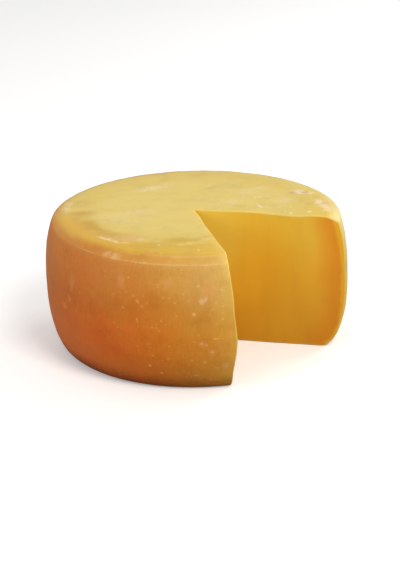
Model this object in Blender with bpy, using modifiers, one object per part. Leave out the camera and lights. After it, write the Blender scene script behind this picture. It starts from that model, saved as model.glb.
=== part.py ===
"""Aged kashar cheese: one pressed wheel with a V-shaped notch cut from its rim to its middle.

Metres, +Z up. The origin lies on the ground, under the middle of the wheel. Azimuths are measured
from -Y towards +X, and the notch lies between two of them.
"""

import math

import bmesh
import bpy

# The turned wheel, before it sagged
RADIUS = 0.160  # widest ring of the side
HEIGHT = 0.146
FOOT_RADIUS = 0.1335  # ring where the side leaves the ground
BELLY_HEIGHT = 0.0755  # height of the widest ring
RIM_RADIUS = 0.152  # mould line round the shoulder
RIM_DROP = 0.0046  # mould line below the top face
TOP_RADIUS = 0.137  # where the flat top starts to fall
UNDERCUT_POWER = 2.28  # how full the side is below its widest ring
SIDE_POWER = 3.1  # how long the side stays upright above it
SHOULDER_POWER = 1.6
BEAD_HEIGHT = 0.0006  # flash that the mould left on the rim
BEAD_WIDTH = 0.0024
TOP_DISH = 0.0008  # the top face sank a little in the middle
TURN_STEPS = 96

# How it settled on the shelf: each ring slid and tipped a little
FOOT_SLIDE = (-0.0008, 0.0038)  # foot ring against the widest ring, so the front overhangs
RIM_SLIDE = (0.0004, 0.0019)
FRONT_SAG = 0.0103  # the belly hangs lower at the front
RIGHT_SAG = 0.0046
FRONT_SLACK = 0.83  # taken off UNDERCUT_POWER at the front, where the side runs in straighter
RIM_TIP = 0.0029  # the rim is lower at the front
RIM_TIP_START = 0.8  # share of the height where the tip sets in
SLIDE_POWER = 1.5  # the slides grow faster away from the widest ring
FRONT_FADE = 0.2  # how softly the slack fades out round the sides
LUMP = 0.00045  # slow swelling of the side
LUMP_WAVES = ((3, 0.8, 1.0), (5, 2.3, 0.6), (8, 4.1, 0.35))  # waves round the wheel, phase, share

# The notch
NOTCH_APEX = (-0.0020, 0.0062)
NOTCH_START = math.radians(12.4)
NOTCH_END = math.radians(76.2)
KNIFE_PATH = (  # height, and how far the first cut had wandered into the notch there
    (0.0, 0.0038),
    (0.020, 0.0032),
    (0.056, 0.0054),
    (0.092, 0.0031),
    (0.138, 0.0001),
    (HEIGHT, 0.0),
)
KNIFE_LEVELS = 14
NOTCH_REACH = 0.26
NOTCH_MARGIN = 0.012  # cutter above and below the wheel

PASTE_COLOR = (0.72, 0.40, 0.06, 1.0)
PASTE_ROUGHNESS = 0.45
SHARP_ANGLE = math.radians(30)
LEVEL = 0.0001  # vertices this near the top face belong to it
MERGE_DISTANCE = 0.00005


def clear_scene():
    for old in list(bpy.data.objects):
        bpy.data.objects.remove(old, do_unlink=True)


def share(value, low, high):
    """How far value lies from low to high, held within 0 and 1."""
    return min(max((value - low) / (high - low), 0.0), 1.0)


def top_points(count=4):
    """From the middle of the top face to the edge of its flat part."""
    points = []
    for step in range(count + 1):
        radius = TOP_RADIUS * step / count
        points.append((radius, HEIGHT))
    return points


def shoulder_points(count=6):
    """From the flat top down to the upper foot of the mould line."""
    points = []
    end = 1 - BEAD_WIDTH / 2 / (RIM_RADIUS - TOP_RADIUS)
    for step in range(1, count + 1):
        along = end * step / count
        radius = TOP_RADIUS + (RIM_RADIUS - TOP_RADIUS) * along
        points.append((radius, HEIGHT - RIM_DROP * along**SHOULDER_POWER))
    return points


def bead_points():
    """The narrow raised mould line: its crown and its lower foot."""
    rim = HEIGHT - RIM_DROP
    crown = (RIM_RADIUS + BEAD_HEIGHT, rim)
    return [crown, (RIM_RADIUS + BEAD_HEIGHT / 3, rim - BEAD_WIDTH / 2)]


def side_points(count=9):
    """From under the mould line down to the widest ring."""
    rim = HEIGHT - RIM_DROP
    start = rim - BEAD_WIDTH
    points = []
    for step in range(count + 1):
        z = start + (BELLY_HEIGHT - start) * step / count
        rise = (z - BELLY_HEIGHT) / (rim - BELLY_HEIGHT)
        points.append((RADIUS - (RADIUS - RIM_RADIUS) * rise**SIDE_POWER, z))
    return points


def undercut_radius(z, power):
    """Radius of the side between the foot and the widest ring."""
    drop = 1 - share(z, 0.0, BELLY_HEIGHT)
    return FOOT_RADIUS + (RADIUS - FOOT_RADIUS) * (1 - drop**power) ** (1 / power)


def undercut_points(count=10):
    """From the widest ring round to the foot, closer together near the ground."""
    points = []
    for step in range(1, count + 1):
        z = BELLY_HEIGHT * (1 - math.sin(math.pi / 2 * step / count))
        points.append((undercut_radius(z, UNDERCUT_POWER), z))
    return points


def profile_points():
    """The turned outline from the top's middle, down its outer side, to the middle of the base."""
    points = top_points() + shoulder_points() + bead_points() + side_points() + undercut_points()
    points.append((0.0, 0.0))
    return points


def turned_wheel(collection):
    mesh = bpy.data.meshes.new("wheel_profile")
    outline = bmesh.new()
    corners = [outline.verts.new((radius, 0.0, z)) for radius, z in profile_points()]
    for upper, lower in zip(corners, corners[1:]):
        outline.edges.new((upper, lower))
    outline.to_mesh(mesh)
    outline.free()
    profile = bpy.data.objects.new("wheel_profile", mesh)
    collection.objects.link(profile)

    screw = profile.modifiers.new("turn", "SCREW")
    screw.axis = "Z"
    screw.steps = TURN_STEPS
    screw.render_steps = TURN_STEPS
    screw.use_merge_vertices = True
    screw.merge_threshold = MERGE_DISTANCE
    bpy.context.view_layer.update()
    graph = bpy.context.evaluated_depsgraph_get()
    turned = bpy.data.meshes.new_from_object(profile.evaluated_get(graph))
    bpy.data.objects.remove(profile, do_unlink=True)

    wheel = bpy.data.objects.new("cheese_wheel", turned)
    collection.objects.link(wheel)
    return wheel


def settle(wheel):
    """Moves the rings of the turned wheel to where the sagged, uneven one has them."""
    rim = HEIGHT - RIM_DROP
    for vertex in wheel.data.vertices:
        x, y, z = vertex.co
        radius = math.hypot(x, y)
        azimuth = math.atan2(x, -y)
        front, right = math.cos(azimuth), math.sin(azimuth)

        low = share(BELLY_HEIGHT - z, 0.0, BELLY_HEIGHT) ** SLIDE_POWER
        high = share(z, BELLY_HEIGHT, rim) ** SLIDE_POWER
        ahead = (front + math.hypot(front, FRONT_FADE)) / 2
        slack = undercut_radius(z, UNDERCUT_POWER) - undercut_radius(z, UNDERCUT_POWER - FRONT_SLACK * ahead)
        swell = sum(size * math.sin(waves * azimuth + phase) for waves, phase, size in LUMP_WAVES)
        reach = radius / RADIUS
        radius += reach * (LUMP * swell * math.sin(math.pi * z / HEIGHT) - slack)

        sag = (FRONT_SAG * front + RIGHT_SAG * right) * math.sin(math.pi * z / HEIGHT)
        near_rim = share(z, RIM_TIP_START * HEIGHT, rim) * share(HEIGHT - z, 0.0, RIM_DROP)
        dish = 0.0
        if z > HEIGHT - LEVEL:
            dish = TOP_DISH * (1 - share(radius, 0.0, TOP_RADIUS) ** 2)

        vertex.co.x = radius * right + reach * (FOOT_SLIDE[0] * low + RIM_SLIDE[0] * high)
        vertex.co.y = -radius * front + reach * (FOOT_SLIDE[1] * low + RIM_SLIDE[1] * high)
        vertex.co.z = z - sag - RIM_TIP * front * near_rim - dish
    wheel.data.update()


def centre_on_ground(mesh):
    """Puts the middle of the wheel's box over the origin."""
    xs = [vertex.co.x for vertex in mesh.vertices]
    ys = [vertex.co.y for vertex in mesh.vertices]
    middle = ((min(xs) + max(xs)) / 2, (min(ys) + max(ys)) / 2)
    for vertex in mesh.vertices:
        vertex.co.x -= middle[0]
        vertex.co.y -= middle[1]


def knife_drift(z):
    """How far the first cut had wandered at height z, eased from one known place to the next."""
    for (low, low_drift), (high, high_drift) in zip(KNIFE_PATH, KNIFE_PATH[1:]):
        if z <= high or high == HEIGHT:
            along = share(z, low, high)
            return low_drift + (high_drift - low_drift) * along**2 * (3 - 2 * along)


def notch_corners(z):
    """The notch in plan at height z: its apex and the far ends of both cuts."""
    drift = knife_drift(z)
    spread = NOTCH_END - NOTCH_START
    start_out = (math.sin(NOTCH_START), -math.cos(NOTCH_START))
    start_side = (math.cos(NOTCH_START), math.sin(NOTCH_START))
    end_out = (math.sin(NOTCH_END), -math.cos(NOTCH_END))
    corners = []
    for along in (drift / math.tan(spread), NOTCH_REACH):
        x = NOTCH_APEX[0] + drift * start_side[0] + along * start_out[0]
        y = NOTCH_APEX[1] + drift * start_side[1] + along * start_out[1]
        corners.append((x, y, z))
    x = NOTCH_APEX[0] + NOTCH_REACH * end_out[0]
    y = NOTCH_APEX[1] + NOTCH_REACH * end_out[1]
    corners.append((x, y, z))
    return corners


def notch_cutter(collection):
    """A block raised level by level, so that its first side follows the knife's path."""
    bottom, top = -NOTCH_MARGIN, HEIGHT + NOTCH_MARGIN
    block = bmesh.new()
    ring = [block.verts.new(corner) for corner in notch_corners(bottom)]
    block.faces.new(ring)
    for level in range(1, KNIFE_LEVELS + 1):
        z = bottom + (top - bottom) * level / KNIFE_LEVELS
        upper = [block.verts.new(corner) for corner in notch_corners(z)]
        for side in range(3):
            ahead = (side + 1) % 3
            block.faces.new((ring[side], ring[ahead], upper[ahead], upper[side]))
        ring = upper
    block.faces.new(ring)
    bmesh.ops.recalc_face_normals(block, faces=block.faces)
    mesh = bpy.data.meshes.new("notch_cutter")
    block.to_mesh(mesh)
    block.free()
    cutter = bpy.data.objects.new("notch_cutter", mesh)
    cutter.hide_render = True
    cutter.display_type = "WIRE"
    collection.objects.link(cutter)
    return cutter


def paste_material():
    material = bpy.data.materials.new("cheese")
    material.use_nodes = True
    shader = material.node_tree.nodes["Principled BSDF"]
    shader.inputs["Base Color"].default_value = PASTE_COLOR
    shader.inputs["Roughness"].default_value = PASTE_ROUGHNESS
    shader.inputs["Metallic"].default_value = 0.0
    return material


def main():
    clear_scene()
    parts = bpy.data.collections.new("aged_kashar_cheese")
    cutters = bpy.data.collections.new("cutters")
    bpy.context.scene.collection.children.link(parts)
    bpy.context.scene.collection.children.link(cutters)

    wheel = turned_wheel(parts)
    settle(wheel)
    centre_on_ground(wheel.data)
    cut = wheel.modifiers.new("notch", "BOOLEAN")
    cut.operation = "DIFFERENCE"
    cut.object = notch_cutter(cutters)

    wheel.data.materials.clear()
    wheel.data.materials.append(paste_material())
    wheel.data.shade_smooth()
    wheel.data.set_sharp_from_angle(angle=SHARP_ANGLE)


main()
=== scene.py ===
import math

import bpy
from mathutils import Matrix, Vector, noise


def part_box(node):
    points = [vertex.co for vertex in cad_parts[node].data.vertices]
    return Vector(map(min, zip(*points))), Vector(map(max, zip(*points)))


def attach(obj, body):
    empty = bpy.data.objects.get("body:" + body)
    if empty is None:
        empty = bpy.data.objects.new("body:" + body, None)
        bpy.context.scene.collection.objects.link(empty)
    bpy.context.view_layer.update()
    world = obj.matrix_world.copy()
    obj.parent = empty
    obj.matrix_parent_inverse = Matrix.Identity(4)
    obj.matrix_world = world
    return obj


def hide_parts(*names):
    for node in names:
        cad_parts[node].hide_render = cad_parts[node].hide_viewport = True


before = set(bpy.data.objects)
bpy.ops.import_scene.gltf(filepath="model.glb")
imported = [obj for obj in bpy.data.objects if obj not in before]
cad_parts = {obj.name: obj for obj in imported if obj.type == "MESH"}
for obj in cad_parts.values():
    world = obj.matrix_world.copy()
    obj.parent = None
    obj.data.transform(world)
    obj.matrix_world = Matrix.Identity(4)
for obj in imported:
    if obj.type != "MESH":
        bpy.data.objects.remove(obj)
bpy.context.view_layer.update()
print("frame loaded")


# Azimuths are counted in degrees from -Y, where the camera stands, towards +X

wheel = {
    "radius": 0.160,            # widest ring of the side
    "height": 0.146,
    "footRadius": 0.1335,       # ring where the side leaves the shelf
    "bellyHeight": 0.0755,      # height of the widest ring
    "rimRadius": 0.152,         # mould line round the shoulder
    "rimDrop": 0.0046,          # mould line below the top
    "rimRounding": 0.0022,
    "topRadius": 0.137,         # where the flat top starts to fall
    "undercutPower": 2.28,      # how full the side is below its widest ring
    "sidePower": 3.1,           # how long it stays upright above it
    "shoulderPower": 1.6,
    "cutFrom": 12.4,            # the notch lies between these azimuths
    "cutTo": 76.2,
    "poleRings": (0.0003, 0.0008, 0.0016, 0.003),
    "topSteps": 42,
    "shoulderSteps": 18,
    "rimSteps": 12,
    "sideSteps": 38,
    "undercutSteps": 42,
    "baseSteps": 52,
    "cornerStep": 24,           # undercut step where the side of a cut face ends and its foot starts
    "edgeColumns": (0.06, 0.12, 0.20, 0.30, 0.45),   # degrees each, finest beside the cut
    "columns": 306,
    "weldGap": 0.00002,         # points of the turned rind nearer than this become one
    "cutWeldGap": 0.000002,     # the same where the cut faces join it
    "cutGap": 0.0002,           # an open edge this near to a cut belongs to it
    "uprightFrom": 0.004,       # the side's upright part starts at this height
    "smoothAngle": 35,          # edges sharper than this many degrees stay sharp
}
rimHeight = wheel["height"] - wheel["rimDrop"]

settling = {
    "footSlide": (-0.0008, 0.0038),
    "rimSlide": (0.0004, 0.0019),
    "slidePower": 1.5,          # how slowly the slides set in, away from the widest ring
    "frontSag": 0.0103,         # the belly hangs lower at the front
    "rightSag": 0.0046,
    "frontSlack": 0.83,         # the front runs in straighter below the belly
    "frontSoftness": 0.2,       # how softly that passes over into the back
    "rimTip": 0.0029,
    "rimTipFrom": 0.8,          # share of the height where the tip sets in
    "topDish": 0.0008,
    "topDishFrom": 0.97,
    "lump": 0.00045,
    "lumpWaves": ((3, 0.8, 1.0), (5, 2.3, 0.6), (8, 4.1, 0.35)),   # waves round the wheel, start, size
}


def heading(degrees):
    azimuth = math.radians(degrees)
    return Vector((math.sin(azimuth), -math.cos(azimuth), 0))


def share(value, low, high):
    return min(max((value - low) / (high - low), 0.0), 1.0)


def ease(value, low, high):
    t = share(value, low, high)
    return t * t * (3 - 2 * t)


def undercutRadius(z, power):
    drop = 1 - share(z, 0.0, wheel["bellyHeight"])
    full = (1 - drop**power) ** (1 / power)
    return wheel["footRadius"] + (wheel["radius"] - wheel["footRadius"]) * full


def profileStops():
    # radius and height from the middle of the top, over the rim and down to the middle of the base
    height, top, rimRadius = wheel["height"], wheel["topRadius"], wheel["rimRadius"]
    stops = [(0.0, height)]
    for radius in wheel["poleRings"]:
        stops.append((radius, height))
    inner = wheel["poleRings"][-1]
    for step in range(1, wheel["topSteps"] + 1):
        stops.append((inner + (top - inner) * step / wheel["topSteps"], height))

    def shoulder(along):
        radius = top + (rimRadius - top) * along
        return radius, height - wheel["rimDrop"] * along ** wheel["shoulderPower"]

    def side(z):
        rise = share(z, wheel["bellyHeight"], rimHeight)
        return wheel["radius"] - (wheel["radius"] - rimRadius) * rise ** wheel["sidePower"], z

    over = 1 - wheel["rimRounding"] / (rimRadius - top)
    for step in range(1, wheel["shoulderSteps"] + 1):
        stops.append(shoulder(over * step / wheel["shoulderSteps"]))

    start, corner = Vector(shoulder(over)), Vector((rimRadius, rimHeight))
    end = Vector(side(rimHeight - wheel["rimRounding"]))
    for step in range(1, wheel["rimSteps"] + 1):
        t = step / wheel["rimSteps"]
        point = start * (1 - t) ** 2 + corner * 2 * t * (1 - t) + end * t * t
        stops.append((point.x, point.y))

    for step in range(1, wheel["sideSteps"] + 1):
        stops.append(side(end.y + (wheel["bellyHeight"] - end.y) * step / wheel["sideSteps"]))
    for step in range(1, wheel["undercutSteps"] + 1):
        z = wheel["bellyHeight"] * (1 - math.sin(math.pi / 2 * step / wheel["undercutSteps"]))
        stops.append((undercutRadius(z, wheel["undercutPower"]), z))
    for step in range(1, wheel["baseSteps"] + 1):
        stops.append((wheel["footRadius"] * (1 - step / wheel["baseSteps"]), 0.0))
    return stops


def turnWheel():
    # the profile is drawn point by point on the near cut, then spun round the wheel to the far one
    stops = profileStops()
    out = heading(wheel["cutFrom"])
    bpy.ops.object.select_all(action="DESELECT")
    bpy.ops.mesh.primitive_plane_add(size=0.01, location=(0, 0, wheel["height"]))   # merged to a point
    piece = bpy.context.object
    piece.name = "kashar_wheel"
    piece.data.name = "kashar_wheel"
    bpy.ops.object.transform_apply(location=True, rotation=True, scale=True)
    bpy.ops.object.mode_set(mode="EDIT")
    bpy.ops.mesh.select_mode(type="VERT")
    bpy.ops.mesh.select_all(action="SELECT")
    bpy.ops.mesh.merge(type="CENTER")
    for (radius, z), (nextRadius, nextZ) in zip(stops, stops[1:]):
        move = out * (nextRadius - radius) + Vector((0, 0, nextZ - z))
        bpy.ops.mesh.extrude_region_move(TRANSFORM_OT_translate={"value": move})

    bpy.ops.mesh.select_all(action="SELECT")
    fine = [math.radians(step) for step in wheel["edgeColumns"]]
    whole = math.radians(360 - wheel["cutTo"] + wheel["cutFrom"])
    turns = [(step, 1) for step in fine] + [(whole - 2 * sum(fine), wheel["columns"])]
    turns += [(step, 1) for step in reversed(fine)]
    for angle, steps in turns:
        bpy.ops.mesh.spin(steps=steps, angle=angle, center=(0, 0, 0), axis=(0, 0, 1))
    bpy.ops.mesh.select_all(action="SELECT")
    bpy.ops.mesh.remove_doubles(threshold=wheel["weldGap"])
    bpy.ops.mesh.normals_make_consistent(inside=False)
    bpy.ops.object.mode_set(mode="OBJECT")
    return piece


relief = {
    "linesFrom": (0.9, 0.08),   # share of the height, and radius, where the lines below start
    "mouldLine": 0.00032,       # height of the line that the mould left
    "mouldLineLeft": 0.4,       # share of it that is left on the side away from the notch
    "mouldLineFades": (-0.95, -0.55),
    "mouldLineUneven": (0.75, 0.6),   # middle height, and how far noise takes it up and down
    "mouldLineWidth": 0.00042,
    "roundingReach": 0.0004,    # half width of the rounding that carries the line
    "secondLine": 0.00022,      # fainter one above it, only at the front
    "secondLineTurn": 0.02,
    "secondLineFades": (0.93, 0.985),
    "secondLineRadius": 0.1434,
    "secondLineWidth": 0.0006,
    "secondLineWander": 0.0006,
    "ringHollow": 0.0004,       # soft step where the pale middle of the top ends
    "ringUneven": (0.8, 0.5),
    "ringMiddle": (-0.004, 0.018),
    "ringRadius": 0.124,
    "ringWidth": 0.005,
    "ringWander": 0.004,
    "alongScale": 9,            # noise round the wheel, and where in it the wheel starts
    "alongStart": (3, 1, 7),
    "swell": 0.00035,
    "swellScale": 42,
    "swellStart": (5, 2, 9),
    "dimple": 0.00016,
    "dimpleScale": 130,
    "unevenFrom": (0.001, 0.008),   # heights between which swells and dimples come in
}

cut = {
    "edgeRounding": 0.0017,     # how far the rind rolls over into a cut
    "apexRounding": 0.0005,
    "apexReach": 0.05,          # distance from the axis where it rolls over in full
    "footRounding": 0.35,       # share of it at the very foot, and the height where it is full
    "footReach": 0.03,
    "roundingWander": 0.35,
    "roundingScale": 60,
    "apex": (-0.0020, 0.0062, 0),
    # how far the near cut wandered into the notch, by height
    "knifePath": (
        (0, 0.0038), (0.020, 0.0032), (0.056, 0.0050), (0.092, 0.0024), (0.138, -0.0005), (0.146, 0.0003),
    ),
    # how far the top of the far cut wandered out of the notch, and how much it rises, both by
    # distance from the axis
    "farPath": ((0, 0.0), (0.060, 0.0024), (0.103, -0.0014), (0.130, 0.0002), (0.161, 0.0012)),
    "farRise": ((0, 0.0), (0.062, 0.0005), (0.100, -0.0005), (0.125, 0.0), (0.161, 0.0)),
    "farHeights": (0.02, 0.12),     # heights between which both come in
    "fade": 0.04,
    "wave": 0.0009,             # slow waves that the knife left across a cut face
    "waveLength": 0.055,
    "waveStretch": 2,           # how much longer they are upright than across
    "ripple": 0.00018,
    "rippleLength": 0.009,
    "rippleStretch": 4,
    "wavesFrom": (0.01, 0.06),  # distances from the axis between which both come in
    "wavesFade": 0.015,
    "wavesStart": (11.0, 47.0),     # where in the noise the near and the far cut lie
}


def gapTo(place, out):
    # from a point to a cut, which starts at the axis and runs outwards
    along = max(place.x * out.x + place.y * out.y, 0.0)
    return math.hypot(place.x - out.x * along, place.y - out.y * along)


def nearerGap(place):
    return min(gapTo(place, heading(wheel[name])) for name in ("cutFrom", "cutTo"))


def hump(offset, width):
    return math.exp(-(offset / width) ** 2)


def movePoints(moves):
    # only once every move is known, because a normal changes with the points around it
    for vertex, place in moves:
        vertex.co = place


def raiseLines(piece):
    fromShare, fromRadius = relief["linesFrom"]
    level, uneven = relief["mouldLineUneven"]
    ringLevel, ringUneven = relief["ringUneven"]
    reach = relief["roundingReach"]
    moves = []
    for vertex in piece.data.vertices:
        place = vertex.co
        radius = math.hypot(place.x, place.y)
        if place.z < fromShare * wheel["height"] or radius < fromRadius:
            continue
        azimuth = math.atan2(place.x, -place.y)
        around = Vector((math.cos(azimuth), math.sin(azimuth), 0))
        along = noise.noise(around * relief["alongScale"] + Vector(relief["alongStart"]))
        # the rounding starts a little inside the mould line and ends a little below it
        offset = wheel["rimRadius"] - radius if place.z > rimHeight - reach else rimHeight - place.z
        offset = math.copysign(max(abs(offset) - reach, 0), offset)
        shown = ease(math.cos(azimuth - math.radians(rind["paleTowards"])), *relief["mouldLineFades"])
        shown = relief["mouldLineLeft"] + (1 - relief["mouldLineLeft"]) * shown
        lift = relief["mouldLine"] * shown * (level + uneven * along)
        lift *= hump(offset, relief["mouldLineWidth"])
        if place.z > rimHeight:
            front = ease(math.cos(azimuth + relief["secondLineTurn"]), *relief["secondLineFades"])
            offset = radius - relief["secondLineRadius"] - relief["secondLineWander"] * along
            lift += relief["secondLine"] * front * hump(offset, relief["secondLineWidth"])
        fromRing = math.hypot(place.x - relief["ringMiddle"][0], place.y - relief["ringMiddle"][1])
        hollow = hump(fromRing - relief["ringRadius"] - relief["ringWander"] * along, relief["ringWidth"])
        lift -= relief["ringHollow"] * hollow * (ringLevel + ringUneven * along)
        moves.append((vertex, place + vertex.normal * lift))
    movePoints(moves)


def swellRind(piece):
    # hand-sized swells and small dimples, none of them under the foot
    moves = []
    for vertex in piece.data.vertices:
        place = vertex.co
        swell = noise.noise(place * relief["swellScale"] + Vector(relief["swellStart"]))
        lift = relief["swell"] * swell + relief["dimple"] * noise.noise(place * relief["dimpleScale"])
        moves.append((vertex, place + vertex.normal * lift * ease(place.z, *relief["unevenFrom"])))
    movePoints(moves)


def roundCutEdges(piece):
    # the rind rolls over into both cuts, a little more in some places
    moves = []
    for vertex in piece.data.vertices:
        place = vertex.co
        full = ease(math.hypot(place.x, place.y), 0, cut["apexReach"])
        size = cut["apexRounding"] + (cut["edgeRounding"] - cut["apexRounding"]) * full
        size *= 1 + cut["roundingWander"] * noise.noise(place * cut["roundingScale"])
        size *= cut["footRounding"] + (1 - cut["footRounding"]) * ease(place.z, 0.0, cut["footReach"])
        gap = nearerGap(place)
        if gap < size:
            drop = size - math.sqrt(size * size - (size - gap) ** 2)
            moves.append((vertex, place - vertex.normal * drop))
    movePoints(moves)


def boundaryChain(mesh, azimuth):
    # the open edge of the rind along one cut, from the middle of the top to the middle of the base
    uses = {}
    for polygon in mesh.polygons:
        for key in polygon.edge_keys:
            uses[key] = uses.get(key, 0) + 1
    out = heading(azimuth)
    links = {}
    for (first, second), count in uses.items():
        if count == 1:
            middle = (mesh.vertices[first].co + mesh.vertices[second].co) / 2
            gap = abs(middle.x * out.y - middle.y * out.x)
            if gap < wheel["cutGap"] and middle.x * out.x + middle.y * out.y > 0:
                links.setdefault(first, []).append(second)
                links.setdefault(second, []).append(first)
    ends = [index for index, others in links.items() if len(others) == 1]
    ends.sort(key=lambda index: -mesh.vertices[index].co.z)
    chain, before = [ends[0]], None
    while chain[-1] != ends[1]:
        following = [index for index in links[chain[-1]] if index != before][0]
        before = chain[-1]
        chain.append(following)
    return [mesh.vertices[index].co.copy() for index in chain]


def closeCut(piece, azimuth, name):
    # a grid is laid into the open side: its border takes the rind's edge, its inside is spread evenly
    chain = boundaryChain(piece.data, azimuth)
    half = wheel["rimSteps"] // 2
    topCount = len(wheel["poleRings"]) + wheel["topSteps"] + wheel["shoulderSteps"] + half
    footCount = wheel["baseSteps"] + wheel["undercutSteps"] - wheel["cornerStep"]
    sideCount = len(chain) - 1 - topCount - footCount
    if topCount != footCount:
        raise ValueError(f"a cut face has {footCount} steps along its foot, but {topCount} along its top")
    top = chain[:topCount + 1]
    side = chain[topCount:topCount + sideCount + 1]
    foot = chain[topCount + sideCount:][::-1]

    bpy.ops.object.select_all(action="DESELECT")
    bpy.ops.mesh.primitive_grid_add(x_subdivisions=topCount, y_subdivisions=sideCount, size=1)
    face = bpy.context.object
    face.name = name
    for vertex in face.data.vertices:
        column = round((vertex.co.x + 0.5) * topCount)
        row = round((0.5 - vertex.co.y) * sideCount)
        down = (side[0].z - side[row].z) / (side[0].z - side[-1].z)
        axis = top[0].lerp(foot[0], down)
        acrossTop = (top[column] - top[0]).length / (top[-1] - top[0]).length
        acrossFoot = (foot[column] - foot[0]).length / (foot[-1] - foot[0]).length
        across = acrossTop + (acrossFoot - acrossTop) * down
        upper = top[column] - top[0].lerp(top[-1], across)
        lower = foot[column] - foot[0].lerp(foot[-1], across)
        vertex.co = axis.lerp(side[row], across) + upper * (1 - down) + lower * down
    return face


def joinCuts(piece):
    faces = [closeCut(piece, wheel["cutFrom"], "near_cut"), closeCut(piece, wheel["cutTo"], "far_cut")]
    for number, part in enumerate([piece] + faces):
        part.data.materials.clear()
        part.data.materials.append(rindMaterial)
        part.data.materials.append(pasteMaterial)
        for polygon in part.data.polygons:
            polygon.material_index = 1 if number else 0
    bpy.ops.object.select_all(action="DESELECT")
    for part in faces + [piece]:
        part.select_set(True)
    bpy.context.view_layer.objects.active = piece
    bpy.ops.object.join()
    bpy.ops.object.mode_set(mode="EDIT")
    bpy.ops.mesh.select_mode(type="VERT")
    bpy.ops.mesh.select_all(action="SELECT")
    bpy.ops.mesh.remove_doubles(threshold=wheel["cutWeldGap"])
    bpy.ops.mesh.normals_make_consistent(inside=False)
    bpy.ops.object.mode_set(mode="OBJECT")


def lineDistance(point, first, second):
    line = second - first
    along = share((point - first).dot(line), 0.0, line.length_squared)
    return (point - first - line * along).length


def markPlaces(piece):
    # three values for the materials, taken while the wheel is still round:
    # pasteDepth, how deep a point of a cut lies in the paste or, below zero, how far a point of the
    # rind lies from a cut; sideDepth, how far a point of a cut lies from the upright part of the
    # side; fromRim, how far a point of the rind lies inside the mould line or, below zero, under it
    mesh = piece.data
    outline = [Vector(stop) for stop in profileStops()]
    footRadius, lowest = wheel["footRadius"], wheel["uprightFrom"]
    upright = [stop for stop in outline if stop.x > footRadius and lowest < stop.y < rimHeight]
    inPaste = [False] * len(mesh.vertices)
    onRind = [False] * len(mesh.vertices)
    for polygon in mesh.polygons:
        flags = inPaste if polygon.material_index == 1 else onRind
        for index in polygon.vertices:
            flags[index] = True
    values = {"pasteDepth": [], "sideDepth": [], "fromRim": []}
    for vertex in mesh.vertices:
        place = vertex.co
        radius = math.hypot(place.x, place.y)
        point = Vector((radius, place.z))
        pasteDepth, sideDepth = -nearerGap(place), 0.0
        if inPaste[vertex.index]:
            pasteDepth = 0.0
            sideDepth = min(math.hypot(radius - stop.x, place.z - stop.y) for stop in upright)
            if not onRind[vertex.index]:
                pasteDepth = min(lineDistance(point, *ends) for ends in zip(outline, outline[1:]))
        values["pasteDepth"].append(pasteDepth)
        values["sideDepth"].append(sideDepth)
        fromRim = wheel["rimRadius"] - radius if place.z > rimHeight else place.z - rimHeight
        values["fromRim"].append(fromRim)
    for name, numbers in values.items():
        attribute = mesh.attributes.new(name=name, type="FLOAT", domain="POINT")
        attribute.data.foreach_set("value", numbers)


def settle(place):
    # sag, slide and slack of the whole wheel, the same as in the solid
    x, y, z = place
    radius = math.hypot(x, y)
    azimuth = math.atan2(x, -y)
    front, right = math.cos(azimuth), math.sin(azimuth)
    low = share(wheel["bellyHeight"] - z, 0.0, wheel["bellyHeight"]) ** settling["slidePower"]
    high = share(z, wheel["bellyHeight"], rimHeight) ** settling["slidePower"]
    ahead = 0.5 * (front + math.hypot(front, settling["frontSoftness"]))
    power = wheel["undercutPower"]
    slack = undercutRadius(z, power) - undercutRadius(z, power - settling["frontSlack"] * ahead)
    swell = sum(size * math.sin(waves * azimuth + start) for waves, start, size in settling["lumpWaves"])
    bulge = math.sin(math.pi * share(z, 0, wheel["height"]))
    reach = radius / wheel["radius"]
    radius += reach * (settling["lump"] * swell * bulge - slack)
    sag = (settling["frontSag"] * front + settling["rightSag"] * right) * bulge * reach
    tip = share(z, settling["rimTipFrom"] * wheel["height"], rimHeight)
    tip *= share(wheel["height"] - z, 0.0, wheel["rimDrop"])
    dish = settling["topDish"] * ease(z, settling["topDishFrom"] * wheel["height"], wheel["height"])
    dish *= 1 - share(radius, 0, wheel["topRadius"]) ** 2
    slideX, slideY = (
        foot * low + rim * high for foot, rim in zip(settling["footSlide"], settling["rimSlide"])
    )
    return Vector((
        radius * right + reach * slideX,
        -radius * front + reach * slideY,
        z - sag - settling["rimTip"] * front * tip * reach - dish,
    ))


def readPath(path, place):
    # reads a path of places and values, smoothly between its stops
    for (low, lowValue), (high, highValue) in zip(path, path[1:]):
        if place <= high or high == path[-1][0]:
            return lowValue + (highValue - lowValue) * ease(place, low, high)


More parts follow.
